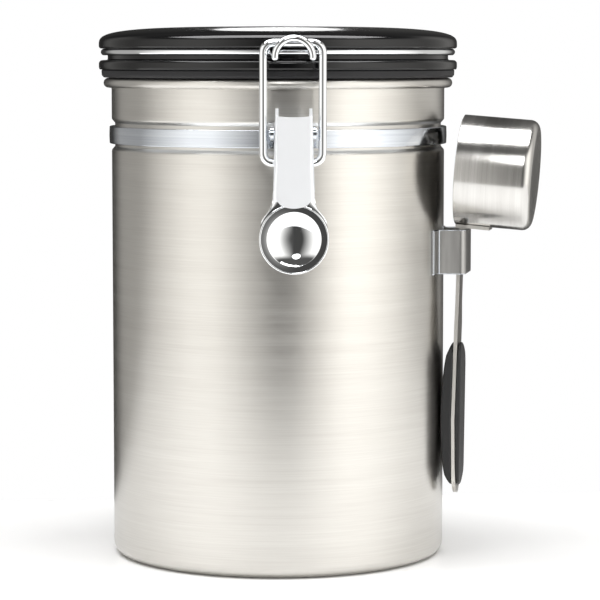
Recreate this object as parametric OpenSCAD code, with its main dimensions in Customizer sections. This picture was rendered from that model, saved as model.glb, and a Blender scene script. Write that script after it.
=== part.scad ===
// Food canister: a sheet steel can with a hinged lid, an over-centre wire latch and a hung scoop.
// The origin is the centre of the base, +Z is up, and the latch faces -Y.

/* [Can] */
// Outer radius of the wall
body_r = 60.2; // [54:0.1:66]
// Thickness of the sheet
wall = 0.6; // [0.4:0.1:1]
// Radius of the edge of the base
corner_r = 4; // [2:0.5:8]
// Depth of the neck groove
groove_depth = 1.2; // [0.6:0.1:1.5]
// Lower edge of the neck groove
groove_z = 148; // [144:0.5:152]
// Height of the neck wall between the groove and the bead
neck_h = 14.35; // [13:0.05:16]
// Radius of the roll of the bead
bead_r = 1.75; // [1.4:0.05:2]

/* [Neck band] */
// How far the band stands out from the wall
band_rise = 0.9; // [0.6:0.1:1.2]
// Height of the band
band_h = 6.2; // [5.5:0.1:7]
// Half of the angle that a bracket covers on the band
bracket_half = 9; // [8:0.5:12]
// Thickness of the bracket plates
bracket_t = 1; // [0.8:0.1:1.2]

/* [Lid] */
// How far the lid stands out past the wall
lid_over = 4.5; // [4.2:0.1:5.2]
// Height of the seal
seal_h = 2.85; // [2.4:0.05:3.4]
// Gap between the seal and the bead
seal_gap = 0.15; // [0.1:0.05:0.3]
// Height of the flange
flange_h = 3.3; // [2.8:0.1:3.8]
// Height of the groove for the wire
groove_h = 4.2; // [4.1:0.1:4.8]
// Height of the cap
cap_h = 7.8; // [7:0.1:9]
// Squareness of the cap's edge: 2 is an ellipse, more is squarer
crown_n = 3.6; // [2.5:0.1:5]
// Roll at the lower edge of the cap
cap_edge = 0.9; // [0.6:0.1:1.5]
// Roll at the upper edge of the flange
flange_edge = 1.8; // [0.6:0.1:2.2]
// Gap between the spigot and the inside of the wall
plug_gap = 2.6; // [2.2:0.1:3.4]
// Radius of the recess for the dial
recess_r = 21.3; // [18:0.1:24]
// Depth of the recess for the dial
recess = 3; // [2.6:0.1:3.6]

/* [Lid wire] */
// Radius of the wire
wire_r = 1.2; // [1:0.05:1.3]
// How far the ring that the wire forms stands out from the wall
ring_over = 2.6; // [2.4:0.1:2.9]
// Half width of the hook between wire centres, which is the radius of its arch
hook_half = 6.35; // [5.9:0.05:6.6]
// Distance of the hook in front of the loop
hook_over = 4.3; // [4:0.1:4.8]
// Distance of the hinge pin from the wall
hinge_gap = 7.8; // [7.2:0.1:8.6]
// Height of the hinge pin over the lower edge of the band
hinge_up = 4; // [3.6:0.1:4.4]
// Half distance between the legs at the hinge
leg_half = 8; // [7.5:0.1:9]

/* [Latch] */
// Distance of the lever's pivot from the wall
pivot_gap = 8.3; // [8:0.1:9.2]
// Height of the lever's pivot over the lower edge of the band
pivot_up = 5.3; // [4.9:0.1:5.6]
// Distance from the pivot down to the lower bar of the loop
crank = 10; // [9:0.1:11]
// Gap between the upper bar of the loop and the prongs under it
prong_gap = 0.35; // [0.3:0.05:0.6]
// Radius of the loop's wire
loop_r = 1.45; // [1.2:0.05:1.5]
// Half width of the loop between wire centres
loop_half = 10.05; // [10:0.05:11]
// Bend at the corners of the loop
loop_bend = 3.4; // [2.8:0.1:4]
// Half width of the lever's plate at its pivot
lever_half = 6.2; // [5.8:0.1:6.2]
// Half width of the lever's plate over the thumb tab
lever_foot = 7.1; // [6.6:0.1:7.4]
// Thickness of the lever's sheet
lever_t = 1; // [0.8:0.1:1.2]
// Distance of the lever's front face from its pivot
lever_rise = 5; // [4.6:0.1:5.4]
// Height of the lever's plate over the pivot
lever_up = 5.9; // [5.4:0.1:6.4]
// Distance from the pivot down to the centre of the thumb tab
tab_drop = 35.5; // [33:0.1:38]
// Radius of the thumb tab
tab_r = 12.1; // [11.5:0.1:12.8]
// Depth of the dish in the thumb tab
tab_dish = 3.6; // [2:0.1:4]

/* [Scoop] */
// Angle from the latch to the scoop
scoop_az = 75; // [60:5:120]
// Radius of the cup
cup_r = 19.75; // [17:0.25:20]
// Depth of the cup
cup_len = 27; // [24:0.5:35]
// Distance of the cup's rim from the wall
cup_gap = 6.5; // [6.4:0.1:7.4]
// Height of the centre of the cup's rim
cup_z = 139.8; // [139:0.1:141]
// Angle by which the closed end hangs lower
cup_tilt = 4.5; // [0:0.5:6]
// Thickness of the handle strip
strip_t = 1.3; // [1:0.1:1.5]
// Distance from the cup down to the lower end of the grip
grip_drop = 94.45; // [92:0.05:96]
// Length of the grip
grip_len = 51.9; // [48:0.1:52]
// Width of the grip
grip_w = 15; // [13:0.5:15]
// Gap between the cup and the holder
holder_gap = 1.45; // [1.2:0.05:2.4]
// Height of the holder
holder_h = 15.9; // [12:0.1:16]
// How far the holder stands out from the wall
holder_rise = 9.5; // [9.4:0.1:10.6]

/* [Hidden] */
$fn = 96;

shoulder = 1.2;                               // height of each slope beside the groove
groove_r = body_r - groove_depth;             // bottom of the neck groove
band_z = groove_z + 1;                        // lower edge of the band
groove_top = band_z + band_h + 1.2;           // upper edge of the neck groove
bead_z = groove_top + neck_h;                 // centre of the rolled bead
band_r = body_r + band_rise;                  // front face of the band
plate_out = band_r + bracket_t;               // front face of the bracket plates
lid_r = body_r + lid_over;                    // greatest radius of the lid
seal_z = bead_z + bead_r + seal_gap;          // underside of the seal
flange_z = seal_z + seal_h;                   // underside of the flange
flange_top = flange_z + flange_h;             // lower edge of the wire groove
cap_z = flange_top + groove_h;                // upper edge of the wire groove
crown_z = cap_z + cap_h;                      // top of the cap
wire_z = cap_z - wire_r - 0.05;               // height of the wire ring
ring_r = body_r + ring_over;                  // radius of the wire ring
neck_r = ring_r - wire_r - 0.1;               // bottom of the wire groove
plug_r = body_r - wall - plug_gap;            // spigot that enters the mouth
seat_z = flange_z - 5;                        // upper side of the spigot's floor
floor_z = seat_z - 2;                         // underside of the spigot
dial_z = crown_z - recess;                    // floor of the recess
hub_r = 7;                                    // bearing of the dial
vent_ring = 5.5;                              // distance of the vent holes from the axis
hinge_out = body_r + hinge_gap;               // hinge pin's distance from the can's axis
hinge_z = band_z + hinge_up;                  // height of the hinge pin
pivot_out = body_r + pivot_gap;               // pivot's distance from the can's axis
pivot_z = band_z + pivot_up;                  // height of the pivot
bar_z = pivot_z - crank;                      // lower bar of the loop
loop_top = wire_z + wire_r + prong_gap + loop_r;  // upper bar of the loop
hook_out = pivot_out + hook_over;             // hook's distance from the can's axis
lever_out = pivot_out + lever_rise;           // front face of the lever
lever_top = pivot_z + lever_up;               // top edge of the lever's plate
tab_z = pivot_z - tab_drop;                   // centre of the thumb tab
ear_x = lever_half + 0.4;                     // inner face of each ear
ear_t = 1.2;                                  // thickness of each ear
pin_r = 1;                                    // lever pin
fit = 0.05;                                   // radial clearance of a running fit
strip_w = 10;                                 // width of the handle in the holder
handle_w = 13;                                // width of the handle under the grip
hang_z = cup_z - cup_r;                       // lowest point of the cup's rim
grip_z = hang_z - grip_drop;                  // lower end of the grip
tip_z = grip_z - 2.9;                         // lower end of the handle
strip_bend = 3;                               // bend between the handle and the tab under the cup
holder_t = 0.85;                              // sheet of the holder
holder_w = 19;                                // width of the holder
holder_bend = 2.2;                            // bend at the corners of the holder
holder_out = body_r + holder_rise;            // front face of the holder
holder_z = hang_z - holder_gap - holder_h;    // lower edge of the holder
cup_out = body_r + cup_gap;                   // cup's rim from the can's axis

// Distance of the handle's middle from the can's axis, by height
strip_line = [
    for (p = [[-97.35, 5.3], [-84.05, 5], [-70.05, 4.9], [-41.05, 5.8], [-18.05, 6.3], [-5.15, 6.7]])
        p + [hang_z, body_r]
];

// Points of an arc about a centre, from one angle to another
function arc(c, r, a0, a1, n = 6) =
    [for (i = [0:n]) let (a = a0 + (a1 - a0) * i / n) c + r * [cos(a), sin(a)]];

function flip(p) = [for (i = [len(p) - 1:-1:0]) p[i]];

function unit(v) = v / norm(v);

// One side of a line of points, moved by d along its normals
function beside(p, d) = [
    for (i = [0:len(p) - 1])
        let (v = unit(p[min(i + 1, len(p) - 1)] - p[max(i - 1, 0)])) p[i] + d * [-v[1], v[0]]
];

// Outline of a strip of thickness t along a line of points
function ribbon(p, t) = concat(beside(p, t / 2), flip(beside(p, -t / 2)));

// A place on the can: its children have +X outward, at an angle from the latch
module at(az) {
    rotate([0, 0, az - 90]) children();
}

// An outline of distance and height, given a width about the middle or from y0
module side_plate(width, y0 = undef) {
    start = is_undef(y0) ? -width / 2 : y0;
    translate([0, start + width, 0]) rotate([90, 0, 0]) linear_extrude(width) children();
}

// An outline of width and height, given a thickness outward from x0
module front_plate(x0, t) {
    translate([x0, 0, 0]) rotate([90, 0, 90]) linear_extrude(t) children();
}

module rod(a, b, r) {
    v = b - a;
    translate(a) rotate([0, acos(v[2] / norm(v)), atan2(v[1], v[0])]) cylinder(h = norm(v), r = r);
}

// A quarter of a ring at the corner p, between the unit directions u and v that leave it
module elbow(p, u, v, bend, r) {
    c = p + bend * (u + v);
    w = cross(v, u);
    multmatrix([
        [-v[0], -u[0], w[0], c[0]],
        [-v[1], -u[1], w[1], c[1]],
        [-v[2], -u[2], w[2], c[2]],
        [0, 0, 0, 1]
    ])
        rotate_extrude(angle = 90) translate([bend, 0]) circle(r, $fn = 32);
}

// A wire along points that turn by right angles
module bent_wire(p, bend, r) {
    last = len(p) - 1;
    for (i = [0:last - 1]) {
        v = unit(p[i + 1] - p[i]);
        rod(p[i] + (i > 0 ? bend : 0) * v, p[i + 1] - (i < last - 1 ? bend : 0) * v, r, $fn = 32);
    }
    for (i = [1:last - 1])
        elbow(p[i], unit(p[i - 1] - p[i]), unit(p[i + 1] - p[i]), bend, r);
}

// ---- Can ----

// Outer line of the wall from the base to the bead, moved inward by d
function can_line(d) = concat(
    arc([body_r - corner_r, corner_r], corner_r - d, -90, 0),
    [
        [body_r - d, groove_z - shoulder],
        [groove_r - d, groove_z],
        [groove_r - d, groove_top],
        [body_r - d, groove_top + shoulder],
        [body_r - d, bead_z]
    ]
);

module canister_body() {
    color("lightsteelblue")
        rotate_extrude() {
            polygon(concat(can_line(0), flip(can_line(wall))));
            translate([body_r - wall + bead_r - 0.05, bead_z]) circle(bead_r, $fn = 48);
        }
}

module canister_base() {
    color("lightsteelblue") cylinder(h = wall, r = body_r - corner_r);
}

module neck_band() {
    edge = 0.5;
    color("silver")
        rotate_extrude()
            polygon([
                [groove_r, band_z],
                [band_r - edge, band_z],
                [band_r, band_z + edge],
                [band_r, band_z + band_h - edge],
                [band_r - edge, band_z + band_h],
                [groove_r, band_z + band_h]
            ]);
}

// A plate curved to the band
module band_plate() {
    rotate([0, 0, -bracket_half])
        rotate_extrude(angle = 2 * bracket_half)
            translate([band_r, band_z]) square([bracket_t, band_h]);
}

// Two round heads on a bracket plate
module rivet_pair(spread, z) {
    head_r = 1.5;
    for (s = [-1, 1])
        rotate([0, 0, s * asin(spread / plate_out)]) translate([plate_out - 0.3, 0, z])
            rotate([0, 90, 0]) cylinder(h = 1, r1 = head_r, r2 = head_r * 0.7, $fn = 32);
}

module latch_bracket() {
    ear_r = 2.4;
    color("silver")
        at(0) difference() {
            union() {
                band_plate();
                for (y0 = [-ear_x - ear_t, ear_x])
                    side_plate(ear_t, y0) {
                        translate([pivot_out, pivot_z]) circle(ear_r, $fn = 48);
                        polygon([
                            [band_r + 0.2, band_z + 0.6],
                            [pivot_out, pivot_z - ear_r],
                            [pivot_out, pivot_z + ear_r],
                            [band_r + 0.2, band_z + band_h]
                        ]);
                    }
            }
            translate([pivot_out, 0, pivot_z])
                rotate([90, 0, 0]) cylinder(h = 30, r = pin_r, center = true, $fn = 32);
            rivet_pair(3.2, band_z + band_h / 2);
        }
}

module bracket_rivets() {
    color("gainsboro") at(0) rivet_pair(3.2, band_z + band_h / 2);
}

module lever_pin() {
    head_r = 1.7;
    tip = ear_x + ear_t;
    color("gainsboro")
        at(0) translate([pivot_out, 0, pivot_z]) rotate([90, 0, 0]) {
            cylinder(h = 2 * tip, r = pin_r, center = true, $fn = 32);
            for (s = [-1, 1])
                translate([0, 0, s * (tip + 0.2)])
                    cylinder(h = 0.4, r = head_r, center = true, $fn = 32);
        }
}

module hinge_bracket() {
    knuckle_r = 2.3;
    color("silver")
        at(180) difference() {
            union() {
                band_plate();
                side_plate(12.8) {
                    translate([hinge_out, hinge_z]) circle(knuckle_r, $fn = 48);
                    polygon([
                        [band_r + 0.4, hinge_z - 1.6],
                        [hinge_out, hinge_z - 1.6],
                        [hinge_out, hinge_z + 1.6],
                        [band_r + 0.4, hinge_z + 1.6]
                    ]);
                }
            }
            translate([hinge_out, 0, hinge_z])
                rotate([90, 0, 0]) cylinder(h = 30, r = wire_r + fit, center = true, $fn = 48);
            rivet_pair(7.9, band_z + band_h / 2);
        }
}

module hinge_rivets() {
    color("gainsboro") at(180) rivet_pair(7.9, band_z + band_h / 2);
}

// The strap's plan, open to the can
module holder_plan(out, w, r) {
    translate([0, -w / 2]) square([out - r, w]);
    translate([0, -w / 2 + r]) square([out, w - 2 * r]);
    for (s = [-1, 1])
        translate([out - r, s * (w / 2 - r)]) circle(r, $fn = 32);
}

module scoop_holder() {
    foot = 5.5;
    color("silver")
        at(scoop_az) translate([0, 0, holder_z]) linear_extrude(holder_h)
            difference() {
                union() {
                    difference() {
                        holder_plan(holder_out, holder_w, holder_bend);
                        holder_plan(
                            holder_out - holder_t, holder_w - 2 * holder_t, holder_bend - holder_t
                        );
                    }
                    for (s = [-1, 1])
                        intersection() {
                            circle(body_r + holder_t);
                            translate([body_r - 5, s * (holder_w + foot) / 2 - foot / 2])
                                square([10, foot]);
                        }
                }
                circle(body_r);
            }
}

// ---- Lid ----

module lid_cap() {
    edge_z = cap_z + cap_edge;
    ceiling = dial_z - 2;
    crown = [
        for (i = [0:14])
            let (a = 90 * i / 14, e = 2 / crown_n)
                [lid_r * pow(cos(a), e), edge_z + (crown_z - edge_z) * pow(sin(a), e)]
    ];
    outer = [for (p = crown) if (p[0] > recess_r + 3) p];
    color("#151515")
        rotate_extrude()
            polygon(concat(
                [[3, ceiling], [plug_r - 3, ceiling], [plug_r, edge_z], [plug_r, cap_z]],
                arc([lid_r - cap_edge, edge_z], cap_edge, -90, -15, 4),
                outer,
                [[recess_r, crown_z], [recess_r, dial_z], [3, dial_z]]
            ));
}

module lid_base() {
    edge = 0.4;
    color("#151515")
        difference() {
            rotate_extrude()
                polygon(concat(
                    [[0, floor_z], [plug_r - 4, floor_z], [plug_r - 2, seat_z - 0.5]],
                    [[plug_r, seal_z], [plug_r, flange_z]],
                    arc([lid_r - edge, flange_z + edge], edge, -90, 0, 3),
                    arc([lid_r - flange_edge, flange_top - flange_edge], flange_edge, 0, 90, 5),
                    [[neck_r, flange_top], [neck_r, cap_z], [neck_r - 2.5, cap_z]],
                    [[neck_r - 2.5, flange_top], [plug_r - 3, flange_z], [plug_r - 5, seat_z], [0, seat_z]]
                ));
            for (i = [0:5])
                rotate([0, 0, 60 * i]) translate([vent_ring, 0, floor_z - 1])
                    cylinder(h = 4, r = 1.2, $fn = 32);
            translate([0, 0, floor_z - 1]) cylinder(h = 4, r = 1.5, $fn = 32);
        }
}

module gasket() {
    color("#242424")
        rotate_extrude()
            polygon([
                [plug_r, seal_z],
                [lid_r - 1.6, seal_z],
                [lid_r - 0.9, seal_z + 0.7],
                [lid_r - 0.9, flange_z],
                [plug_r, flange_z]
            ]);
}

// Where a wire at a distance y from the middle leaves the ring
function leave_ring(y) = sqrt(pow(ring_r, 2) - pow(y, 2)) + 0.5;

module lid_wire() {
    root = leave_ring(hook_half);
    heel = leave_ring(leg_half);
    color("gainsboro") {
        translate([0, 0, wire_z]) rotate_extrude() translate([ring_r, 0]) circle(wire_r, $fn = 32);
        at(0) {
            for (s = [-1, 1]) {
                rod([root, s * hook_half, wire_z], [hook_out, s * hook_half, wire_z], wire_r, $fn = 32);
                translate([hook_out, s * hook_half, wire_z]) sphere(wire_r + 0.05, $fn = 32);
            }
            translate([hook_out, 0, wire_z])
                rotate([90, 0, 90])
                    rotate_extrude(angle = 180)
                        translate([hook_half, 0]) circle(wire_r, $fn = 32);
        }
        at(180) for (s = [-1, 1])
            bent_wire(
                [
                    [heel, s * leg_half, wire_z],
                    [hinge_out, s * leg_half, wire_z],
                    [hinge_out, s * leg_half, hinge_z],
                    [hinge_out, s, hinge_z]
                ],
                1.6, wire_r
            );
    }
}

module dial_bezel() {
    color("silver")
        translate([0, 0, dial_z])
            rotate_extrude()
                polygon([
                    [recess_r - 0.8, 0],
                    [recess_r, 0],
                    [recess_r, 1.8],
                    [recess_r - 0.4, 2],
                    [recess_r - 0.8, 1.8]
                ]);
}

module date_dial() {
    outer = recess_r - 1.1;
    bore = hub_r + fit;
    rise = 0.9;
    color("silver")
        translate([0, 0, dial_z + 0.1])
            rotate_extrude()
                polygon(concat(
                    [[bore, 0], [outer, 0], [outer, 0.9]],
                    [
                        for (i = [1:6])
                            let (r = outer + (bore - outer) * i / 6)
                                [r, 0.9 + rise * (1 - pow((r - bore) / (outer - bore), 2))]
                    ]
                ));
}

module dial_hub() {
    color("gainsboro")
        translate([0, 0, dial_z])
            rotate_extrude()
                polygon([
                    [0, -2.8],
                    [3, -2.8],
                    [3, 0],
                    [hub_r, 0],
                    [hub_r, 2.1],
                    [hub_r + 1.2, 2.1],
                    [hub_r + 1, 2.5],
                    [hub_r - 2, 2.8],
                    [0, 2.9]
                ]);
}

module valve_seat() {
    color("#202020")
        translate([0, 0, seat_z])
            rotate_extrude() translate([9.5, 0]) square([2, 1.6]);
}

module valve_disc() {
    color("#8a8a84")
        rotate_extrude()
            polygon([
                [0, floor_z - 1],
                [1.2, floor_z - 1],
                [2.2, floor_z],
                [1.5, floor_z],
                [1.5, seat_z],
                [8.8, seat_z],
                [8.8, seat_z + 0.5],
                [0, seat_z + 1.2]
            ]);
}

// ---- Latch ----

module latch_lever() {
    cut_r = tab_r - 0.9;
    side = [
        [lever_half, lever_top],
        [lever_half, bar_z - 1.5],
        [lever_foot, tab_z + 15],
        [lever_foot + 0.6, tab_z + 11.5],
        [tab_r - 2.6, tab_z + 8.2],
        [tab_r - 1.1, tab_z + 6.2],
        [tab_r - 0.6, tab_z + 3.7]
    ];
    dish = [for (i = [0:6]) let (u = i / 6) [cut_r * u, -tab_dish * (1 - u * u)]];
    color("gainsboro")
        at(0) difference() {
            union() {
                front_plate(lever_out - lever_t, lever_t)
                    difference() {
                        union() {
                            polygon(concat(side, flip([for (p = side) [-p[0], p[1]]])));
                            translate([0, tab_z]) circle(tab_r);
                        }
                        translate([0, tab_z]) circle(cut_r);
                    }
                translate([lever_out - lever_t, 0, tab_z])
                    rotate([0, 90, 0])
                        rotate_extrude() polygon(concat(dish, [for (p = flip(dish)) p + [0, lever_t]]));
                for (y0 = [-lever_half, lever_half - lever_t])
                    side_plate(lever_t, y0)
                        polygon([
                            [lever_out, tab_z + 16],
                            [lever_out, pivot_z + 8.5],
                            [lever_out - 1.2, pivot_z + 8.5],
                            [lever_out - 2.4, pivot_z + 4.6],
                            [pivot_out - 1.9, pivot_z + 2.9],
                            [pivot_out - 2.6, pivot_z - 4],
                            [pivot_out - 2.6, bar_z - 2.5],
                            [lever_out - 2.2, bar_z - 7.5]
                        ]);
            }
            for (z = [pivot_z, bar_z])
                translate([pivot_out, 0, z])
                    rotate([90, 0, 0])
                        cylinder(h = 30, r = fit + (z == pivot_z ? pin_r : loop_r), center = true, $fn = 48);
        }
}

module latch_loop() {
    color("gainsboro")
        at(0) bent_wire(
            [
                [pivot_out, 0, loop_top],
                [pivot_out, loop_half, loop_top],
                [pivot_out, loop_half, bar_z],
                [pivot_out, -loop_half, bar_z],
                [pivot_out, -loop_half, loop_top],
                [pivot_out, 0, loop_top]
            ],
            loop_bend, loop_r
        );
}

// ---- Scoop ----

// The cup's frame: +Z runs from the rim to the closed end
module cup_frame() {
    at(scoop_az) translate([cup_out, 0, cup_z]) rotate([0, 90 + cup_tilt, 0]) children();
}

module scoop_cup() {
    sheet = 0.7;
    edge = 3;
    c = [cup_r - edge, cup_len - edge];
    color("lightsteelblue")
        cup_frame() rotate_extrude()
            polygon(concat(
                [[cup_r - sheet, 0], [cup_r, 0]],
                arc(c, edge, 0, 90),
                [[0, cup_len], [0, cup_len - sheet]],
                flip(arc(c, edge - sheet, 0, 90))
            ));
}

// A point under the cup at a distance s from its rim, at a depth below its axis
function under_cup(s, depth) = [cup_out, cup_z]
    + s * [cos(cup_tilt), -sin(cup_tilt)] - depth * [sin(cup_tilt), cos(cup_tilt)];

module scoop_handle() {
    depth = cup_r - 0.4 + strip_t / 2;
    stem = strip_line[len(strip_line) - 1];
    tab_end = under_cup(12.6, depth);
    meet = under_cup(3.6, depth);
    bend_c = [stem[1] + strip_bend, meet[1] - strip_bend];
    line = concat(
        [tab_end],
        arc(bend_c, strip_bend, 90 - cup_tilt, 180),
        flip([for (p = strip_line) [p[1], p[0]]])
    );
    color("silver")
        difference() {
            at(scoop_az) intersection() {
                side_plate(handle_w) {
                    polygon(ribbon(line, strip_t));
                    polygon(ribbon([under_cup(0.4, depth), meet], strip_t));
                }
                front_plate(body_r - 5, 40) {
                    translate([-strip_w / 2, hang_z - 40]) square([strip_w, 60]);
                    polygon([
                        [-handle_w / 2, tip_z + handle_w / 2],
                        [handle_w / 2, tip_z + handle_w / 2],
                        [handle_w / 2, hang_z - 36],
                        [strip_w / 2, hang_z - 28],
                        [-strip_w / 2, hang_z - 28],
                        [-handle_w / 2, hang_z - 36]
                    ]);
                    translate([0, tip_z + handle_w / 2]) circle(handle_w / 2, $fn = 48);
                }
            }
            cup_frame() cylinder(h = cup_len, r = cup_r);
        }
}

// One pad of the grip, on the can's side (-1) or outside (1)
module grip_pad(side, thick) {
    n = 12;
    thin = 1.1;
    strip = [for (p = strip_line) [p[1], p[0]]];
    middle = [for (i = [0:n]) let (z = grip_z + grip_len * i / n) [lookup(z, strip_line), z]];
    back = [
        for (i = [0:n])
            let (u = 2 * i / n - 1)
                middle[i] + [side * (strip_t / 2 + thin + (thick - thin) * sqrt(1 - u * u)), 0]
    ];
    r = grip_w / 2;
    color("#202020")
        at(scoop_az) intersection() {
            side_plate(grip_w)
                difference() {
                    polygon(concat(middle, flip(back)));
                    polygon(ribbon(strip, strip_t));
                }
            front_plate(body_r - 5, 40) {
                translate([-r, grip_z + r]) square([grip_w, grip_len - 2 * r]);
                for (z = [grip_z + r, grip_z + grip_len - r])
                    translate([0, z]) circle(r, $fn = 48);
            }
        }
}

module grip_inner() {
    grip_pad(-1, 3.85);
}

module grip_outer() {
    grip_pad(1, 1.95);
}

canister_body();
canister_base();
neck_band();
latch_bracket();
bracket_rivets();
lever_pin();
hinge_bracket();
hinge_rivets();
scoop_holder();
lid_cap();
lid_base();
gasket();
lid_wire();
dial_bezel();
dial_hub();
date_dial();
valve_seat();
valve_disc();
latch_lever();
latch_loop();
scoop_cup();
scoop_handle();
grip_inner();
grip_outer();
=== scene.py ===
import math
import bmesh
import bpy
from mathutils import Matrix, Vector


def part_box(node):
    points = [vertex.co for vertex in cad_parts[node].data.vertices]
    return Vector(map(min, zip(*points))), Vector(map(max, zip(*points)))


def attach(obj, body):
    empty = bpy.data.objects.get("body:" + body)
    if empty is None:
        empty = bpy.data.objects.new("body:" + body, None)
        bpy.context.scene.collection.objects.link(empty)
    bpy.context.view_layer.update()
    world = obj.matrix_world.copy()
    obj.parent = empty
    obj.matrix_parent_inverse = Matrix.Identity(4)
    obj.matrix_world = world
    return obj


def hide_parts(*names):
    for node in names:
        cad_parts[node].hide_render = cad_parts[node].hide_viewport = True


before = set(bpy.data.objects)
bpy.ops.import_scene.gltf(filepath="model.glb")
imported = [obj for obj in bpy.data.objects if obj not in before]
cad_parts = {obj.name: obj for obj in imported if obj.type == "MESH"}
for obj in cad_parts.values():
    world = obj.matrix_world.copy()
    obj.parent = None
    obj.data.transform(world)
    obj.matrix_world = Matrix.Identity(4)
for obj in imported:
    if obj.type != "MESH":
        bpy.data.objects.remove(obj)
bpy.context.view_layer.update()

mm = 0.001
print("frame loaded")


# camera, light and floor
cameraSet = {
    "azimuth": -4.2, "distance": 953.6, "height": 180, "aimHeight": 91.6, "aimSide": 7.96, "lens": 157.34,
    "farEnd": 50,
}
softboxes = {
    # name: (azimuth from the camera, elevation, distance, width, height, watts)
    "topSoftbox": (0, 85, 900, 1300, 600, 17.8),
    "backStrip": (180, 23, 900, 115, 270, 0.24),
    "frontLamp": (3, 33, 900, 250, 280, 1.0),
}
studioWalls = {
    # name: (first azimuth from the camera, last azimuth, brightness); between two walls it changes evenly
    "backLeft": (-180, -152, 0.045),
    "rearLeft": (-136, -106, 0.44),
    "left": (-62, -45, 1.44),
    "front": (-2, 9, 0.07),
    "right": (46, 64, 1.85),
    "rearRight": (108, 138, 0.7),
    "backRight": (158, 180, 0.07),
}
# the walls pass into a dim ceiling between two heights, given as sines of the elevation
ceiling = {"level": 0.1, "start": 0.46, "full": 0.72}
floorSize = {"side": 480, "front": 330, "back": 110}
lightHeight = 95  # the softboxes turn round this height, which they also face


def around(azimuth, elevation, distance):
    # a place round the object: azimuth 0 is in front of it, and 90 is to its right
    a = math.radians(azimuth)
    e = math.radians(elevation)
    return Vector((math.sin(a) * math.cos(e), -math.cos(a) * math.cos(e), math.sin(e))) * distance * mm


def lookAt(item, target):
    item.rotation_euler = (target - item.location).to_track_quat("-Z", "Y").to_euler()


def makeCamera():
    s = cameraSet
    camera = bpy.data.objects.new("camera", bpy.data.cameras.new("camera"))
    bpy.context.scene.collection.objects.link(camera)
    camera.location = around(s["azimuth"], 0, s["distance"]) + Vector((0, 0, s["height"] * mm))
    side = around(s["azimuth"] + 90, 0, s["aimSide"])
    lookAt(camera, side + Vector((0, 0, s["aimHeight"] * mm)))
    camera.data.lens = s["lens"]
    camera.data.clip_end = s["farEnd"]
    bpy.context.scene.camera = camera


def makeLights():
    middle = Vector((0, 0, lightHeight * mm))
    for name, (azimuth, elevation, distance, width, height, watts) in softboxes.items():
        light = bpy.data.lights.new(name, "AREA")
        light.shape = "ELLIPSE" if width < height else "RECTANGLE"
        light.size = width * mm
        light.size_y = height * mm
        light.energy = watts
        lamp = bpy.data.objects.new(name, light)
        lamp.visible_camera = False
        bpy.context.scene.collection.objects.link(lamp)
        lamp.location = middle + around(azimuth + cameraSet["azimuth"], elevation, distance)
        lookAt(lamp, middle)


def makeRoom():
    world = bpy.data.worlds.new("room")
    bpy.context.scene.world = world
    world.use_nodes = True
    tree = world.node_tree
    tree.nodes.clear()
    place = addNode(tree, "ShaderNodeTexCoord")
    turned = addNode(
        tree, "ShaderNodeMapping", {"Rotation": (0, 0, -math.radians(cameraSet["azimuth"]))},
        {"Vector": place.outputs["Generated"]}
    )
    split = addNode(tree, "ShaderNodeSeparateXYZ", None, {"Vector": turned.outputs[0]})
    back = addNode(tree, "ShaderNodeMath", {"operation": "MULTIPLY", 1: -1}, {0: split.outputs["Y"]})
    angle = addNode(
        tree, "ShaderNodeMath", {"operation": "ARCTAN2"}, {0: split.outputs["X"], 1: back.outputs[0]}
    )
    turn = addNode(
        tree, "ShaderNodeMath",
        {"operation": "MULTIPLY_ADD", 1: 0.5 / math.pi, 2: 0.5}, {0: angle.outputs[0]}
    )
    ramp = addNode(tree, "ShaderNodeValToRGB", None, {"Fac": turn.outputs[0]})
    stops = ramp.color_ramp.elements
    top = max(level for first, last, level in studioWalls.values())
    edges = [(azimuth, level / top) for *ends, level in studioWalls.values() for azimuth in ends]
    for azimuth, tone in edges[1:-1]:
        stops.new((azimuth + 180) / 360)
    for stop, (azimuth, tone) in zip(stops, edges):
        stop.color = (tone, tone, tone, 1)
    walls = addNode(tree, "ShaderNodeMath", {"operation": "MULTIPLY", 1: top}, {0: ramp.outputs[0]})
    over = addNode(
        tree, "ShaderNodeMapRange",
        {"interpolation_type": "SMOOTHSTEP", "From Min": ceiling["start"], "From Max": ceiling["full"]},
        {"Value": split.outputs["Z"]}
    )
    level = addNode(
        tree, "ShaderNodeMix", {3: ceiling["level"]}, {0: over.outputs[0], 2: walls.outputs[0]}
    )
    room = addNode(
        tree, "ShaderNodeBackground", {"Color": fromHex("#fffdf9")}, {"Strength": level.outputs[0]}
    )
    backdrop = addNode(tree, "ShaderNodeBackground", {"Color": (1, 1, 1, 1), "Strength": 1})
    ray = addNode(tree, "ShaderNodeLightPath")
    mix = addNode(
        tree, "ShaderNodeMixShader", None,
        {0: ray.outputs["Is Camera Ray"], 1: room.outputs[0], 2: backdrop.outputs[0]}
    )
    addNode(tree, "ShaderNodeOutputWorld", None, {"Surface": mix.outputs[0]})


def makeFloor():
    s = floorSize
    bm = bmesh.new()
    bmesh.ops.create_grid(bm, x_segments=4, y_segments=4, size=1)
    bmesh.ops.scale(bm, vec=(s["side"] * mm, (s["front"] + s["back"]) / 2 * mm, 1), verts=bm.verts)
    bmesh.ops.translate(bm, vec=(0, (s["back"] - s["front"]) / 2 * mm, 0), verts=bm.verts)
    mesh = bpy.data.meshes.new("floor")
    bm.to_mesh(mesh)
    bm.free()
    mesh.materials.append(paintedFloor())
    floor = bpy.data.objects.new("floor", mesh)
    bpy.context.scene.collection.objects.link(floor)


def fromHex(code):
    # an sRGB hex value as linear colour
    channels = [int(code[i:i + 2], 16) / 255 for i in (1, 3, 5)]
    return tuple(c / 12.92 if c <= 0.04045 else ((c + 0.055) / 1.055) ** 2.4 for c in channels) + (1,)


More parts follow.
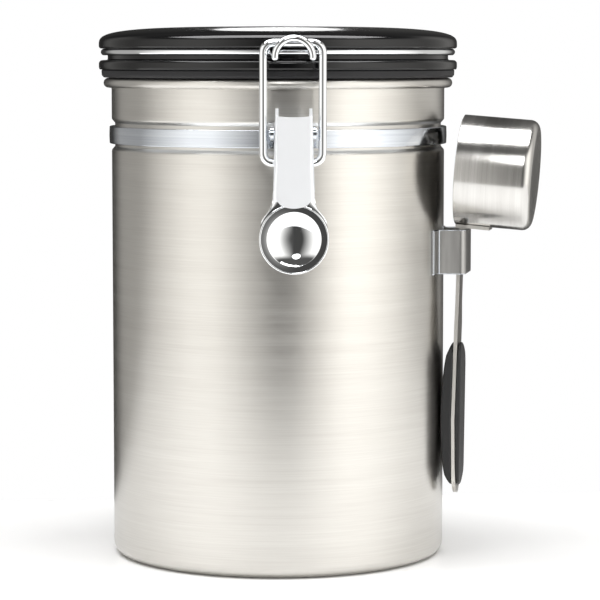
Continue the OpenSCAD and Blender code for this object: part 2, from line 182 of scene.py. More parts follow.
def addNode(tree, kind, settings=None, links=None):
    node = tree.nodes.new(kind)
    for key, value in (settings or {}).items():
        if isinstance(key, str) and hasattr(node, key):
            setattr(node, key, value)
        else:
            node.inputs[key].default_value = value
    for key, source in (links or {}).items():
        tree.links.new(source, node.inputs[key])
    return node


def startMaterial(name, shader):
    material = bpy.data.materials.new(name)
    material.use_nodes = True
    material.node_tree.nodes.clear()
    surface = addNode(material.node_tree, "ShaderNodeBsdfPrincipled", shader)
    addNode(material.node_tree, "ShaderNodeOutputMaterial", None, {"Surface": surface.outputs[0]})
    material.diffuse_color = shader["Base Color"]
    return material, surface


def link(material, source, socket):
    material.node_tree.links.new(source, socket)


def streaks(material, spin, pitch, length, detail=3):
    # long thin noise: pitch across the streaks and length along them, in millimetres
    place = addNode(material.node_tree, "ShaderNodeTexCoord")
    turned = addNode(
        material.node_tree, "ShaderNodeMapping", {"Rotation": spin}, {"Vector": place.outputs["Object"]}
    )
    across = 1 / (pitch * mm)
    along = 1 / (length * mm)
    stretched = addNode(
        material.node_tree, "ShaderNodeMapping",
        {"Scale": (along, along, across)}, {"Vector": turned.outputs[0]}
    )
    return addNode(
        material.node_tree, "ShaderNodeTexNoise", {"Scale": 1, "Detail": detail, "Roughness": 0.6},
        {"Vector": stretched.outputs[0]}
    )


def grains(material, size, detail=2):
    place = addNode(material.node_tree, "ShaderNodeTexCoord")
    return addNode(
        material.node_tree, "ShaderNodeTexNoise",
        {"Scale": 1 / (size * mm), "Detail": detail, "Roughness": 0.55},
        {"Vector": place.outputs["Object"]}
    )


def spread(material, source, low, high):
    # a noise brought to a range about its middle
    return addNode(
        material.node_tree, "ShaderNodeMapRange",
        {"From Min": 0.3, "From Max": 0.7, "To Min": low, "To Max": high}, {"Value": source}
    ).outputs[0]


def shade(material, surface, source, dark, light):
    # colour between two tones, after a noise
    ramp = addNode(material.node_tree, "ShaderNodeValToRGB", None, {"Fac": source})
    ramp.color_ramp.elements[0].position = 0.3
    ramp.color_ramp.elements[0].color = fromHex(dark)
    ramp.color_ramp.elements[1].position = 0.7
    ramp.color_ramp.elements[1].color = fromHex(light)
    link(material, ramp.outputs[0], surface.inputs["Base Color"])


def bump(material, surface, source, strength, height):
    relief = addNode(
        material.node_tree, "ShaderNodeBump",
        {"Strength": strength, "Distance": height * mm}, {"Height": source}
    )
    link(material, relief.outputs[0], surface.inputs["Normal"])


steels = {
    # name: (turn of the streaks, turn of the smear, roughness range, darkest and lightest tone);
    # the streaks of the cup turn with it, so their turn comes from its place
    "brushedStainless": ((0, 0, 0), 0.25, (0.28, 0.34), ("#c6c3be", "#d3d1cc")),
    "brushedCup": (None, 0, (0.17, 0.22), ("#bfbdba", "#d3d2cf")),
    "brushedStrip": ((math.radians(90), 0, 0), 0.25, (0.28, 0.34), ("#c6c3be", "#d3d1cc")),
    "brushedClamp": ((math.radians(90), 0, 0), 0.25, (0.3, 0.38), ("#9a9997", "#b2b1af")),
}


def brushedStainless(name, turned=None):
    # 304 stainless sheet, belt brushed: fine streaks run round the piece and smear what it reflects.
    # The real grit lines are about 0.05 mm apart; they are drawn at 0.45 mm so that they show.
    # The cup is shinier than the wall, and the strap of the holder is a little rougher and darker.
    spin, smear, rough, tones = steels[name]
    spin = spin or turned
    material, surface = startMaterial(name, {
        "Base Color": fromHex("#cdc9c2"), "Metallic": 1, "Roughness": 0.3,
        "Anisotropic": 0.6, "Anisotropic Rotation": smear
    })
    fine = streaks(material, spin, 0.45, 26)
    broad = streaks(material, spin, 2.6, 90, 2)
    mixed = addNode(
        material.node_tree, "ShaderNodeMath", {"operation": "MULTIPLY_ADD", 1: 0.6},
        {0: fine.outputs[0], 2: addNode(
            material.node_tree, "ShaderNodeMath", {"operation": "MULTIPLY", 1: 0.4}, {0: broad.outputs[0]}
        ).outputs[0]}
    )
    shade(material, surface, mixed.outputs[0], *tones)
    link(material, spread(material, mixed.outputs[0], *rough), surface.inputs["Roughness"])
    bump(material, surface, mixed.outputs[0], 0.06, 0.02)
    return material


def polishedStainless():
    # Stainless strip, buffed: nearly a mirror, with faint rolling lines along the band.
    material, surface = startMaterial("polishedStainless", {
        "Base Color": fromHex("#cfd4db"), "Metallic": 1, "Roughness": 0.14
    })
    lines = streaks(material, (0, 0, 0), 0.8, 60, 2)
    shade(material, surface, lines.outputs[0], "#c9ced6", "#d5dae0")
    link(material, spread(material, lines.outputs[0], 0.11, 0.17), surface.inputs["Roughness"])
    return material


def chromePlate():
    # Bright chrome over formed steel: a clear mirror with a faint waviness from the forming.
    material, surface = startMaterial("chromePlate", {
        "Base Color": fromHex("#eceef0"), "Metallic": 1, "Roughness": 0.045
    })
    wave = grains(material, 6, 1)
    link(material, spread(material, wave.outputs[0], 0.035, 0.06), surface.inputs["Roughness"])
    bump(material, surface, wave.outputs[0], 0.05, 0.05)
    return material


def satinNickel():
    # The strip of the lever, barrelled and plated: pale and satin, so that it shows no clear picture.
    material, surface = startMaterial("satinNickel", {
        "Base Color": fromHex("#f4f6f9"), "Metallic": 1, "Roughness": 0.54
    })
    fine = grains(material, 0.4)
    link(material, spread(material, fine.outputs[0], 0.5, 0.58), surface.inputs["Roughness"])
    bump(material, surface, fine.outputs[0], 0.08, 0.02)
    return material


def mouldedAbs():
    # Black ABS from a polished mould: deep black with a sharp clear gloss and faint sink marks.
    material, surface = startMaterial("mouldedAbs", {
        "Base Color": fromHex("#070708"), "Roughness": 0.12, "IOR": 1.46
    })
    sink = grains(material, 14, 1)
    link(material, spread(material, sink.outputs[0], 0.1, 0.16), surface.inputs["Roughness"])
    bump(material, surface, sink.outputs[0], 0.06, 0.1)
    return material


def mouldedSilicone():
    # Black silicone, moulded: matte with a soft sheen, a little paler than the lid.
    material, surface = startMaterial("mouldedSilicone", {
        "Base Color": fromHex("#1b1b1d"), "Roughness": 0.5, "IOR": 1.41
    })
    fine = grains(material, 0.6)
    shade(material, surface, fine.outputs[0], "#18181a", "#202023")
    link(material, spread(material, fine.outputs[0], 0.45, 0.58), surface.inputs["Roughness"])
    bump(material, surface, fine.outputs[0], 0.15, 0.03)
    return material


def paleSilicone():
    # Undyed silicone of the valve flap: milky grey and matte.
    material, surface = startMaterial("paleSilicone", {
        "Base Color": fromHex("#9c9c96"), "Roughness": 0.5, "IOR": 1.41
    })
    bump(material, surface, grains(material, 0.6).outputs[0], 0.1, 0.03)
    return material


def softRubber():
    # Thermoplastic rubber over-moulding of the grip: dark and matte with a fine spark-eroded grain.
    # The real grain is about 0.1 mm; it is drawn at 0.5 mm so that it shows.
    material, surface = startMaterial("softRubber", {
        "Base Color": fromHex("#1a1a1b"), "Roughness": 0.55, "IOR": 1.5
    })
    grain = grains(material, 0.5, 3)
    shade(material, surface, grain.outputs[0], "#161617", "#212122")
    link(material, spread(material, grain.outputs[0], 0.48, 0.64), surface.inputs["Roughness"])
    bump(material, surface, grain.outputs[0], 0.25, 0.04)
    return material


def spunAluminium():
    # Aluminium disc, spun on a lathe: rings round the middle that open the highlight into a fan.
    # The real rings are about 0.08 mm apart; they are drawn at 3 mm so that they show.
    material, surface = startMaterial("spunAluminium", {
        "Base Color": fromHex("#85888c"), "Metallic": 1, "Roughness": 0.4
    })
    place = addNode(material.node_tree, "ShaderNodeTexCoord")
    density = 2 * math.pi / (3.14 * mm) / 20  # at a scale of 1 this texture turns 20 radians in a metre
    rings = addNode(
        material.node_tree, "ShaderNodeTexWave",
        {"wave_type": "RINGS", "rings_direction": "Z", "Scale": density, "Distortion": 0.4},
        {"Vector": place.outputs["Object"]}
    )
    link(material, spread(material, rings.outputs[0], 0.34, 0.46), surface.inputs["Roughness"])
    bump(material, surface, rings.outputs[0], 0.08, 0.02)
    return material


def paintedFloor():
    # Studio board with a matt white coat: even, with a faint soft reflection.
    material, surface = startMaterial("paintedFloor", {
        "Base Color": fromHex("#f6f6f6"), "Roughness": 0.3, "Specular IOR Level": 0.12
    })
    coat = grains(material, 30)
    link(material, spread(material, coat.outputs[0], 0.28, 0.34), surface.inputs["Roughness"])
    return material


def span(node):
    # lowest and highest corner of a node, in millimetres
    low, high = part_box(node)
    return Vector(low) / mm, Vector(high) / mm


def soften(outline, segments=6):
    # a line of (distance, height, radius) corners, with each corner rounded by its radius
    points = []
    count = len(outline)
    for i, (x, z, radius) in enumerate(outline):
        here = Vector((x, z))
        if radius <= 0 or i in (0, count - 1):
            points.append(here)
            continue
        before = Vector(outline[i - 1][:2]) - here
        after = Vector(outline[i + 1][:2]) - here
        half = before.angle(after) / 2
        reach = min(radius / math.tan(half), before.length * 0.49, after.length * 0.49)
        radius = reach * math.tan(half)
        middle = here + (before.normalized() + after.normalized()).normalized() * radius / math.sin(half)
        start = here + before.normalized() * reach - middle
        end = here + after.normalized() * reach - middle
        turn = start.angle_signed(end)
        for k in range(segments + 1):
            angle = -turn * k / segments
            points.append(middle + Matrix.Rotation(angle, 2) @ start)
    return points


def finishPiece(name, bm, body, material, nodes=(), place=None, sharp=35):
    # scales a shape made in millimetres, and gives it its finish and body
    bmesh.ops.transform(bm, matrix=Matrix.Scale(mm, 4) @ (place or Matrix()), verts=bm.verts)
    mesh = bpy.data.meshes.new(name)
    bm.to_mesh(mesh)
    bm.free()
    mesh.polygons.foreach_set("use_smooth", [True] * len(mesh.polygons))
    mesh.set_sharp_from_angle(angle=math.radians(sharp))
    mesh.materials.append(material)
    piece = bpy.data.objects.new(name, mesh)
    bpy.context.scene.collection.objects.link(piece)
    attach(piece, body)
    if nodes:
        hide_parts(*nodes)
    return piece


def closeUp(bm):
    bmesh.ops.remove_doubles(bm, verts=bm.verts, dist=1e-4)
    bmesh.ops.dissolve_degenerate(bm, edges=bm.edges, dist=1e-4)
    bmesh.ops.recalc_face_normals(bm, faces=bm.faces)


def spinLine(points, steps, closed=True):
    # turns a line of (distance, height) about the upright axis
    bm = bmesh.new()
    verts = [bm.verts.new((p[0], 0, p[1])) for p in points]
    edges = [bm.edges.new(pair) for pair in zip(verts, verts[1:])]
    if closed:
        edges.append(bm.edges.new((verts[-1], verts[0])))
    bmesh.ops.spin(
        bm, geom=verts + edges, cent=(0, 0, 0), axis=(0, 0, 1), dvec=(0, 0, 0),
        angle=2 * math.pi, steps=steps, use_merge=True, use_duplicate=False
    )
    closeUp(bm)
    return bm


def outward(azimuth):
    # turns a shape whose +X points outward to a place round the can
    return Matrix.Rotation(math.radians(azimuth - 90), 4, "Z")


def roundPath(points, bend, segments=8):
    # a path with its inner corners rounded
    path = [Vector(points[0])]
    for before, here, after in zip(points, points[1:], points[2:]):
        here = Vector(here)
        a = (Vector(before) - here).normalized()
        b = (Vector(after) - here).normalized()
        half = a.angle(b) / 2
        middle = here + (a + b).normalized() * bend / math.sin(half)
        first = here + a * bend / math.tan(half) - middle
        last = here + b * bend / math.tan(half) - middle
        turn = first.rotation_difference(last)
        for k in range(segments + 1):
            step = turn.copy()
            step.angle = turn.angle * k / segments
            path.append(middle + step @ first)
    path.append(Vector(points[-1]))
    return path


def wireMesh(paths, radius, sides=24):
    # round wire along each path; a path whose ends meet is closed
    made = bmesh.new()
    for path in paths:
        closed = (Vector(path[0]) - Vector(path[-1])).length < 1e-3
        curve = bpy.data.curves.new("wirePath", "CURVE")
        curve.dimensions = "3D"
        curve.bevel_depth = radius
        curve.bevel_resolution = sides // 4 - 1
        curve.use_fill_caps = not closed
        spline = curve.splines.new("POLY")
        kept = path[:-1] if closed else path
        spline.points.add(len(kept) - 1)
        for point, place in zip(spline.points, kept):
            point.co = (*place, 1)
        spline.use_cyclic_u = closed
        holder = bpy.data.objects.new("wirePath", curve)
        bpy.context.scene.collection.objects.link(holder)
        solid = holder.evaluated_get(bpy.context.evaluated_depsgraph_get())
        mesh = bpy.data.meshes.new_from_object(solid)
        made.from_mesh(mesh)
        bpy.data.objects.remove(holder)
        bpy.data.curves.remove(curve)
        bpy.data.meshes.remove(mesh)
    bmesh.ops.remove_doubles(made, verts=made.verts, dist=1e-4)
    bmesh.ops.recalc_face_normals(made, faces=made.faces)
    return made


def addBall(bm, place, radius):
    bmesh.ops.create_icosphere(bm, subdivisions=3, radius=radius, matrix=Matrix.Translation(place))


def dressNode(name, node, body, material, bevel=0.2, sharp=35, edge=None):
    # a copy of a node's solid with its edges eased
    bm = bmesh.new()
    bm.from_mesh(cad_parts[node].data)
    bmesh.ops.remove_doubles(bm, verts=bm.verts, dist=2e-6)
    bmesh.ops.dissolve_limit(bm, angle_limit=math.radians(1), verts=bm.verts, edges=bm.edges)
    bmesh.ops.transform(bm, matrix=Matrix.Scale(1 / mm, 4), verts=bm.verts)
    piece = finishPiece(name, bm, body, material, [node], sharp=sharp)
    ease = piece.modifiers.new("ease", "BEVEL")
    ease.width = bevel * mm
    ease.segments = 2
    ease.limit_method = "ANGLE"
    ease.angle_limit = math.radians(40)
    ease.harden_normals = True
    if edge:
        piece.data.materials.append(edge)
        ease.material = 1
    return piece


can = {
    "wall": 0.6, "baseCorner": 4.0, "footInner": 50.0, "footStep": 1.6, "footRise": 0.9, "footBend": 1.0,
    "grooveR": 59.0, "grooveLow": 148.0, "grooveHigh": 156.4, "slope": 1.3, "grooveBend": 0.8,
    "wallBend": 1.6, "innerBend": 1.2, "floorBend": 0.6,
    # the rolled rim: its radius, the lap over the wall, the turn of the roll and how far down it ends
    "beadR": 1.75, "lap": 0.05, "rollStart": -125, "rollEnd": 180, "underBead": 2.4, "inBead": 2.0,
    "steps": 256,
}


def makeCan(steel):
    s = can
    high = span("canister_body")[1]
    rollR = high.x - s["beadR"]
    wallR = rollR - s["beadR"] + s["wall"] + s["lap"]
    innerR = wallR - s["wall"]
    grooveInner = s["grooveR"] - s["wall"]
    footOuter = s["footInner"] + s["footStep"]
    lowBend = s["grooveLow"] - s["slope"]
    highBend = s["grooveHigh"] + s["slope"]
    top = high.z - s["beadR"]
    outer = [
        (0, s["footRise"], 0), (s["footInner"], s["footRise"], s["footBend"]),
        (footOuter, 0, s["footBend"]), (wallR, 0, s["baseCorner"]),
        (wallR, lowBend, s["wallBend"]), (s["grooveR"], s["grooveLow"], s["grooveBend"]),
        (s["grooveR"], s["grooveHigh"], s["grooveBend"]), (wallR, highBend, s["wallBend"]),
        (wallR, top - s["underBead"], 0),
    ]
    points = soften(outer)
    for k in range(25):
        angle = math.radians(s["rollStart"] + (s["rollEnd"] - s["rollStart"]) * k / 24)
        points.append(Vector((rollR + s["beadR"] * math.cos(angle), top + s["beadR"] * math.sin(angle))))
    inner = [
        (innerR, top - s["inBead"], 0), (innerR, highBend, s["innerBend"]),
        (grooveInner, s["grooveHigh"], s["grooveBend"]), (grooveInner, s["grooveLow"], s["grooveBend"]),
        (innerR, lowBend, s["innerBend"]), (innerR, s["wall"], s["baseCorner"] - s["wall"]),
        (footOuter, s["wall"], s["floorBend"]),
        (s["footInner"], s["footRise"] + s["wall"], s["floorBend"]), (0, s["footRise"] + s["wall"], 0),
    ]
    points += soften(inner)
    bm = spinLine(points, s["steps"])
    finishPiece("canBody", bm, "can", steel, ["canister_body", "canister_base"])
    print("can made")


band = {"edge": 0.35, "crown": 0.12, "crownBend": 30, "seat": 0.02, "steps": 256}


def makeBand(polished):
    s = band
    low, high = span("neck_band")
    innerR = can["grooveR"] + s["seat"]
    edgeR = high.x - s["crown"]
    outline = [
        (innerR, low.z, 0), (edgeR, low.z, s["edge"]), (high.x, (low.z + high.z) / 2, s["crownBend"]),
        (edgeR, high.z, s["edge"]), (innerR, high.z, 0),
    ]
    bm = spinLine(soften(outline), s["steps"])
    finishPiece("neckBand", bm, "can", polished, ["neck_band"])
    dressNode("latchBracket", "latch_bracket", "can", polished, 0.18)
    dressNode("bracketRivets", "bracket_rivets", "can", polished, 0.25)
    dressNode("leverPin", "lever_pin", "can", polished, 0.15)
    dressNode("hingeBracket", "hinge_bracket", "can", polished, 0.18)
    dressNode("hingeRivets", "hinge_rivets", "can", polished, 0.25)
    print("band and brackets made")


lid = {
    "crownPower": 3.7, "underEdge": 0.9, "shell": 2.0, "neckR": 61.5, "neckLap": 0.6, "plugR": 57.0,
    "recessR": 21.3, "recessDepth": 3.0, "recessEdge": 0.5, "recessCorner": 0.3, "holeR": 3.0, "steps": 256,
}


def makeLid(plastic, silicone):
    s = lid
    low, high = span("lid_cap")
    edgeR = high.x
    edgeZ = low.z + s["underEdge"]
    rise = high.z - edgeZ
    under = high.z - s["recessDepth"] - s["shell"]
    points = [
        Vector((s["holeR"], under)), Vector((s["plugR"] - s["shell"] - 1, under)),
        Vector((s["plugR"], edgeZ)), Vector((s["plugR"], low.z)), Vector((s["neckR"] + s["neckLap"], low.z)),
    ]
    for k in range(7):
        angle = math.radians(-90 + 90 * k / 7)
        points.append(Vector((
            edgeR - s["underEdge"] + s["underEdge"] * math.cos(angle),
            edgeZ + s["underEdge"] * math.sin(angle)
        )))
    e = 2 / s["crownPower"]
    for k in range(49):
        angle = math.radians(90 * k / 48)
        r = edgeR * math.cos(angle) ** e
        if r < s["recessR"] + 0.9:
            break
        points.append(Vector((r, edgeZ + rise * math.sin(angle) ** e)))
    floorZ = high.z - s["recessDepth"]
    points += soften([
        (s["recessR"] + 1.2, high.z, 0), (s["recessR"], high.z, s["recessEdge"]),
        (s["recessR"], floorZ, s["recessCorner"]), (s["holeR"], floorZ, 0),
    ])
    finishPiece("lidCap", spinLine(points, s["steps"]), "lid", plastic, ["lid_cap"])
    makeFlange(plastic, silicone)
    print("lid made")


flange = {
    "height": 3.3, "edge": 1.9, "drip": 0.25, "dripUp": 0.8, "neckUp": 0.15, "neckWall": 2.5,
    # the hollow plug: chamfer of its foot and its wall
    "chamfer": 2.0, "chamferUp": 1.6, "wall": 2.0,
}
seal = {"edge": 0.8, "lip": 0.35}


def makeFlange(plastic, silicone):
    s = flange
    low, high = span("lid_base")
    sealLow, sealHigh = span("gasket")
    rim = high.x
    under = sealHigh.z
    top = under + s["height"]
    plugR = lid["plugR"]
    neckR = lid["neckR"]
    outline = [
        (0, low.z, 0), (plugR - 2 * s["chamfer"], low.z, 1.0),
        (plugR - s["chamfer"], low.z + s["chamferUp"], 0.8), (plugR, sealLow.z, 0.8),
        (plugR, under, 0), (rim - s["drip"], under, 0.3),
        (rim, under + s["dripUp"], 0.5), (rim, top, s["edge"]), (neckR, top + s["neckUp"], 0.5),
        (neckR, high.z, 0), (neckR - s["neckWall"], high.z, 0), (neckR - s["neckWall"], top, 0),
        (plugR - 3, under, 0), (plugR - 5, low.z + s["wall"], 0), (0, low.z + s["wall"], 0),
    ]
    bm = spinLine(soften(outline), lid["steps"])
    finishPiece("lidFlange", bm, "lid", plastic, ["lid_base"])
    ring = [
        (plugR, sealLow.z, 0), (sealHigh.x - seal["edge"], sealLow.z, 0.5),
        (sealHigh.x - 0.1, sealLow.z + 0.9, 0.6), (sealHigh.x, under - seal["lip"], 0.25),
        (sealHigh.x - seal["lip"], under, 0), (plugR, under, 0),
    ]
    bm = spinLine(soften(ring), lid["steps"])
    finishPiece("gasketRing", bm, "lid", silicone, ["gasket"])


wire = {
    "radius": 1.2, "ringR": 62.8, "hookHalf": 6.35, "hookOut": 72.8, "hookDrop": 1.8,
    "legHalf": 8.0, "hingeOut": 68.0, "hingeBend": 1.6, "steps": 256,
}


def makeLidWire(chrome):
    s = wire
    low, high = span("lid_wire")
    ringZ = span("lid_cap")[0].z - s["radius"] - 0.05
    hingeZ = low.z + s["radius"]
    archTop = high.z - s["radius"]
    archZ = archTop - s["hookHalf"] - s["hookDrop"]
    start = Vector((s["ringR"], 0, ringZ))
    ring = [Matrix.Rotation(2 * math.pi * k / s["steps"], 3, "Z") @ start for k in range(s["steps"] + 1)]
    front = outward(0).to_3x3()
    rear = outward(180).to_3x3()
    arch = [front @ Vector((s["ringR"] - 0.6, -s["hookHalf"], ringZ))]
    for k in range(33):
        angle = math.pi * k / 32
        arch.append(front @ Vector((
            s["hookOut"], -s["hookHalf"] * math.cos(angle), archZ + s["hookHalf"] * math.sin(angle)
        )))
    arch.append(front @ Vector((s["ringR"] - 0.6, s["hookHalf"], ringZ)))
    paths = [ring, arch[:2], arch[1:-1], arch[-2:]]
    for side in (-1, 1):
        corners = [
            (s["ringR"] - 0.6, side * s["legHalf"], ringZ), (s["hingeOut"], side * s["legHalf"], ringZ),
            (s["hingeOut"], side * s["legHalf"], hingeZ), (s["hingeOut"], side, hingeZ),
        ]
        paths.append([rear @ p for p in roundPath(corners, s["hingeBend"])])
    bm = wireMesh(paths, s["radius"])
    for end in (arch[1], arch[-2]):
        addBall(bm, end, s["radius"])
    finishPiece("lidWire", bm, "lid", chrome, ["lid_wire"], sharp=60)
    print("lid wire made")


loop = {"radius": 1.45, "half": 10.05, "bend": 3.4}


def makeLoop(chrome):
    s = loop
    low, high = span("latch_loop")
    out = -(low.y + high.y) / 2
    bottom = low.z + s["radius"]
    top = high.z - s["radius"]
    corners = [
        (out, 0, top), (out, s["half"], top), (out, s["half"], bottom),
        (out, -s["half"], bottom), (out, -s["half"], top), (out, 0, top),
    ]
    turn = outward(0).to_3x3()
    bm = wireMesh([[turn @ p for p in roundPath(corners, s["bend"], 12)]], s["radius"], 32)
    finishPiece("latchLoop", bm, "loop", chrome, ["latch_loop"], sharp=60)
    print("loop made")


lever = {
    "thick": 1.0, "pivotOut": 68.5, "pivotUp": 35.5, "barUp": 25.5, "pivotHole": 1.05, "barHole": 1.5,
    # the strip: its end over the pivot, the sag of that end, and the share of its width that stays flat
    "end": 5.9, "sag": 0.35, "flatShare": 0.5,
    # the tongue: where it starts, in height and in share of the rows, its tip and the rise of its corners
    "tongueFrom": 15, "tongueRows": 0.7, "tongueUp": 10.4, "tongueRise": 3.0,
    # the shoulder: its heights, the turn to its lower corner, its inset and how far it lies back
    "shoulderUp": 18, "shoulderLow": 3.7, "shoulderTurn": 18, "inset": 0.3, "back": 0.45, "fall": 0.9,
    # the round tab: rolled rim, flat brim and bowl
    "tabR": 12.1, "rimOut": 11.9, "rimR": 0.4,
    "brimFall": 0.12, "bowlR": 9.2, "dish": 2.6, "bowlEdge": 0.4,
    # half widths of the sheet and radius of its side bends, by height over the middle of the tab
    "flare": [(24, 6.2), (15, 7.1), (11.5, 7.7), (8.2, 9.5), (6.2, 11.0), (3.7, 11.4)],
    "bends": [(40, 0.5), (30, 0.6), (22, 0.9), (15, 1.5)],
    # edge of each side flange: distance from the can's axis and height over the tab
    "flangeLine": [
        (72.9, 16), (72.9, 44), (72.3, 44), (71.1, 40.1),
        (66.6, 38.4), (65.9, 31.5), (65.9, 23), (71.3, 18),
    ],
}


def along(table, height):
    # a value from a falling table of (height, value)
    if height >= table[0][0]:
        return table[0][1]
    for (high, a), (low, b) in zip(table, table[1:]):
        if height >= low:
            return b + (a - b) * (height - low) / (high - low)
    return table[-1][1]


def gridShape(columns, rows, sheet, place):
    # a sheet of the given thickness; place maps (across -1..1, down 0..1, depth) to a point
    bm = bmesh.new()
    bmesh.ops.create_grid(bm, x_segments=columns, y_segments=rows, size=1)
    inner = bmesh.ops.extrude_face_region(bm, geom=bm.faces[:])
    bmesh.ops.translate(
        bm, vec=(0, 0, -1), verts=[item for item in inner["geom"] if isinstance(item, bmesh.types.BMVert)]
    )
    for vert in bm.verts:
        vert.co = place(vert.co.x, (1 - vert.co.y) / 2, sheet if vert.co.z < -0.5 else 0)
    bmesh.ops.recalc_face_normals(bm, faces=bm.faces)
    return bm


def makeLever(satin, chrome):
    s = lever
    low = span("latch_lever")[0]
    out = -low.y
    tabZ = low.z + s["tabR"]
    topUp = s["pivotUp"] + s["end"]

    def strip(across, down, depth):
        # the flat strip with its side bends, down to the rounded tongue over the tab
        size = min(abs(across) / s["flatShare"], 1)
        up = topUp + (s["tongueFrom"] - topUp) * min(down / s["tongueRows"], 1)
        if down == 0:
            up -= s["sag"] * (1 - size ** 2)
        bend = along(s["bends"], up)
        half = along(s["flare"], up) - bend
        if down > s["tongueRows"]:
            tip = s["tongueUp"] + s["tongueRise"] * (1 - math.sqrt(1 - 0.96 * size ** 2))
            up += (tip - s["tongueFrom"]) * (down - s["tongueRows"]) / (1 - s["tongueRows"])
        angle = math.pi / 2 * max(abs(across) - s["flatShare"], 0) / (1 - s["flatShare"])
        radius = bend - min(depth, bend)
        x = out - bend + radius * math.cos(angle) - max(depth - bend, 0)
        y = half * size + radius * math.sin(angle)
        return x, math.copysign(y, across), tabZ + up

    def shoulder(across, down, depth):
        # the sheet widens from the strip to the tab and falls back a little beside the tongue
        size = abs(across)
        ringR = s["rimOut"] - s["rimR"]
        corner = math.radians(s["shoulderTurn"])
        angle = math.pi / 2 - (math.pi / 2 - corner) * size
        foot = Vector((math.cos(angle), math.sin(angle))) * ringR
        last = Vector((math.cos(corner), math.sin(corner))) * ringR
        start = s["shoulderUp"]
        up = start + (s["shoulderLow"] - start) * down
        width = along(s["flare"], start) - s["inset"]
        spot = Vector((width * size, start)).lerp(foot, down)
        edge = Vector((along(s["flare"], up) - s["inset"] * (1 - down), up))
        spot += (edge - Vector((width, start)).lerp(last, down)) * size
        fall = s["fall"] * size ** 3 * math.sin(math.pi * min(down * 1.1, 1))
        back = s["back"] + fall + 0.15 * down
        return out - back - depth * 0.6, math.copysign(spot.x, across), tabZ + spot.y

    sheet = gridShape(24, 40, s["thick"], strip)
    for sign in (-1, 1):
        addFlange(sheet, s, s["flangeLine"], sign, tabZ)
    turn = outward(0)
    finishPiece("leverStrip", sheet, "lever", satin, ["latch_lever"], turn, sharp=30)
    wing = gridShape(28, 18, 1, shoulder)
    finishPiece("leverShoulder", wing, "lever", chrome, place=turn, sharp=40)
    tab = tabShape(s, out, tabZ)
    finishPiece("leverTab", tab, "lever", chrome, place=turn, sharp=40)
    print("lever made")


def addFlange(bm, s, outline, sign, tabZ):
    # a side of the lever with its two holes
    part = bmesh.new()
    verts = [part.verts.new((x, 0, up)) for x, up in outline]
    edges = [part.edges.new(pair) for pair in zip(verts, verts[1:] + verts[:1])]
    upright = Matrix.Rotation(math.radians(90), 4, "X")
    for up, radius in ((s["pivotUp"], s["pivotHole"]), (s["barUp"], s["barHole"])):
        ring = bmesh.ops.create_circle(
            part, segments=32, radius=radius, matrix=Matrix.Translation((s["pivotOut"], 0, up)) @ upright
        )
        edges += list({edge for vert in ring["verts"] for edge in vert.link_edges})
    bmesh.ops.triangle_fill(part, edges=edges, use_beauty=True)
    bmesh.ops.recalc_face_normals(part, faces=part.faces)
    made = bmesh.ops.extrude_face_region(part, geom=part.faces[:])
    moved = [item for item in made["geom"] if isinstance(item, bmesh.types.BMVert)]
    bmesh.ops.translate(part, vec=(0, -sign * s["thick"], 0), verts=moved)
    for vert in part.verts:
        vert.co.y += sign * along(s["flare"], vert.co.z)
        vert.co.z += tabZ
    bmesh.ops.recalc_face_normals(part, faces=part.faces)
    mesh = bpy.data.meshes.new("flange")
    part.to_mesh(mesh)
    part.free()
    bm.from_mesh(mesh)
    bpy.data.meshes.remove(mesh)


def tabShape(s, out, tabZ):
    # the round thumb tab: a thin rolled rim, a flat brim and a bowl that steepens outwards
    tube = s["rimOut"] - s["rimR"]
    inner = tube - s["rimR"] * 0.6
    brim = -s["brimFall"]
    line = [(s["bowlR"] * k / 24, brim - s["dish"] * (1 - (k / 24) ** 3), 0) for k in range(24)]
    line.append((s["bowlR"], brim, s["bowlEdge"]))
    # a few points near the rim keep the shading of the brim flat
    line += [(inner - back, -fall, 0) for back, fall in ((1, 0.06), (0.3, 0.04), (0, 0.03))]
    bowl = soften(line, 8)
    points = [Vector((p.x, p.y - s["thick"] * 0.7)) for p in bowl]
    for k in range(11):
        angle = math.radians(-80 + 210 * k / 10)
        points.append(Vector((tube + s["rimR"] * math.cos(angle), s["rimR"] * (math.sin(angle) - 1))))
    points += bowl[::-1]
    disc = spinLine(points, 128)
    place = Matrix.Translation((out, 0, tabZ)) @ Matrix.Rotation(math.radians(90), 4, "Y")
    bmesh.ops.transform(disc, matrix=place, verts=disc.verts)
    return disc


cup = {
    "sheet": 0.7, "edge": 3.2, "lip": 0.25, "radius": 19.75, "length": 27,
    "azimuth": 75, "tilt": 4.5, "out": 66.7, "height": 139.8, "steps": 160,
}


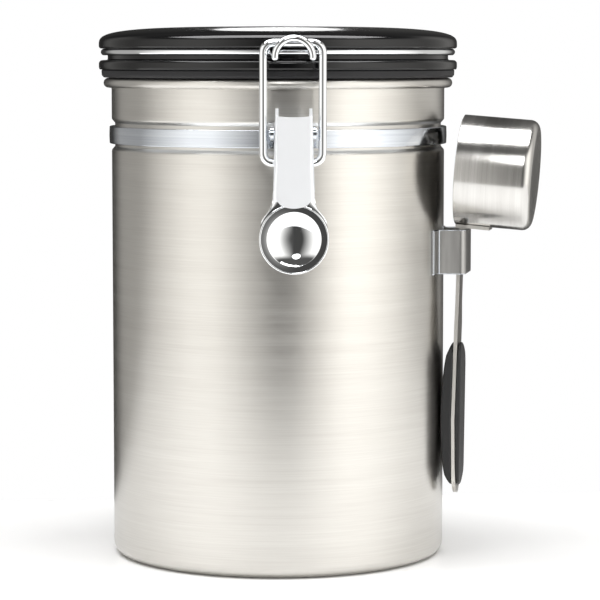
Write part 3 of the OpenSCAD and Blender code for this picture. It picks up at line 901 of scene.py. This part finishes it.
def cupPlace():
    s = cup
    return (
        outward(s["azimuth"]) @ Matrix.Translation((s["out"], 0, s["height"]))
        @ Matrix.Rotation(math.radians(90 + s["tilt"]), 4, "Y")
    )


def makeCup(steel):
    s = cup
    outline = [
        (s["radius"] - s["sheet"], 0, 0), (s["radius"], 0, s["lip"]),
        (s["radius"], s["length"], s["edge"]), (0, s["length"], 0), (0, s["length"] - s["sheet"], 0),
        (s["radius"] - s["sheet"], s["length"] - s["sheet"], s["edge"] - s["sheet"]),
        (s["radius"] - s["sheet"], 0, 0),
    ]
    points = soften(outline)[:-1]
    bm = spinLine(points, s["steps"])
    finishPiece("scoopCup", bm, "scoop", steel, ["scoop_cup"], place=cupPlace())
    print("cup made")


def makeHandle(strip, clamp, polished, rubber):
    dressNode("scoopHandle", "scoop_handle", "scoop", strip, 0.2)
    dressNode("gripInner", "grip_inner", "scoop", rubber, 0.9)
    dressNode("gripOuter", "grip_outer", "scoop", rubber, 0.6)
    dressNode("scoopHolder", "scoop_holder", "can", clamp, 0.3, edge=polished)
    print("handle made")


def makeDial(metal, plastic, flap):
    for node, material in (
        ("date_dial", metal), ("dial_bezel", metal), ("dial_hub", metal),
        ("valve_seat", plastic), ("valve_disc", flap)
    ):
        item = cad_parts[node]
        item.data.materials.clear()
        item.data.materials.append(material)
    print("dial made")


makeCamera()
makeLights()
makeRoom()
makeFloor()
bpy.context.scene.view_settings.view_transform = "Standard"
print("stage made")

sheetSteel = brushedStainless("brushedStainless")
cupSteel = brushedStainless("brushedCup", tuple(cupPlace().inverted().to_euler()))
stripSteel = brushedStainless("brushedStrip")
clampSteel = brushedStainless("brushedClamp")
polished = polishedStainless()
chrome = chromePlate()
plastic = mouldedAbs()
silicone = mouldedSilicone()
rubber = softRubber()
makeCan(sheetSteel)
makeBand(polished)
makeLid(plastic, silicone)
makeLidWire(chrome)
makeLoop(chrome)
makeLever(satinNickel(), chrome)
makeCup(cupSteel)
makeHandle(stripSteel, clampSteel, polished, rubber)
makeDial(spunAluminium(), plastic, paleSilicone())
